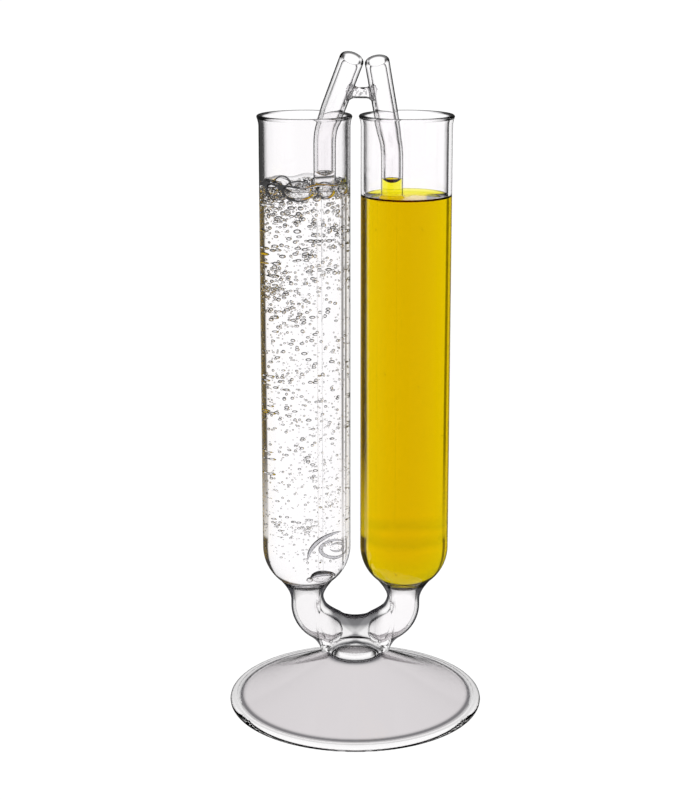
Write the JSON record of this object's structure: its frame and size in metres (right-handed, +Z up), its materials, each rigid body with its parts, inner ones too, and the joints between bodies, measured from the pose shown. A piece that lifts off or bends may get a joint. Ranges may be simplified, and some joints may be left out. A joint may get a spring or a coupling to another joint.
{
  "type": "twin tube cocktail glass",
  "caption": "Cocktail glass of two tall round-bottomed glass tubes on bent stems that meet on a domed foot, holding two drinks side by side, with a lift-out pair of bridged glass straws.",
  "frame": {"origin": "centre of the foot's rolled edge, in the plane that the foot stands on", "axes": "+Z up along the tubes; +X from the clear drink's tube towards the yellow drink's tube; -Y is the front, towards which the mouthpieces lean"},
  "size_m": [0.093, 0.093, 0.2403],
  "materials": {
    "clear_glass": "clear flame-polished borosilicate glass",
    "clear_drink": "clear sparkling water",
    "yellow_drink": "transparent yellow drink"
  },
  "bodies": {
    "vessel": {"foot_rim": "clear_glass", "foot_dome": "clear_glass", "hub_collar": "clear_glass", "saddle_web": "clear_glass", "left_stem": "clear_glass", "right_stem": "clear_glass", "left_elbow": "clear_glass", "right_elbow": "clear_glass", "left_neck": "clear_glass", "right_neck": "clear_glass", "left_tube": "clear_glass", "right_tube": "clear_glass", "left_lip": "clear_glass", "right_lip": "clear_glass", "clear_drink": "clear_drink", "yellow_drink": "yellow_drink"},
    "straws": {"left_leg": "clear_glass", "right_leg": "clear_glass", "left_straw_bend": "clear_glass", "right_straw_bend": "clear_glass", "left_mouthpiece": "clear_glass", "right_mouthpiece": "clear_glass", "straw_bridge": "clear_glass"}
  },
  "joints": [
    {"name": "straw_lift", "type": "slide", "parent": "vessel", "child": "straws", "axis": [0, 0, 1], "range_m": [0, 0.17]}
  ]
}
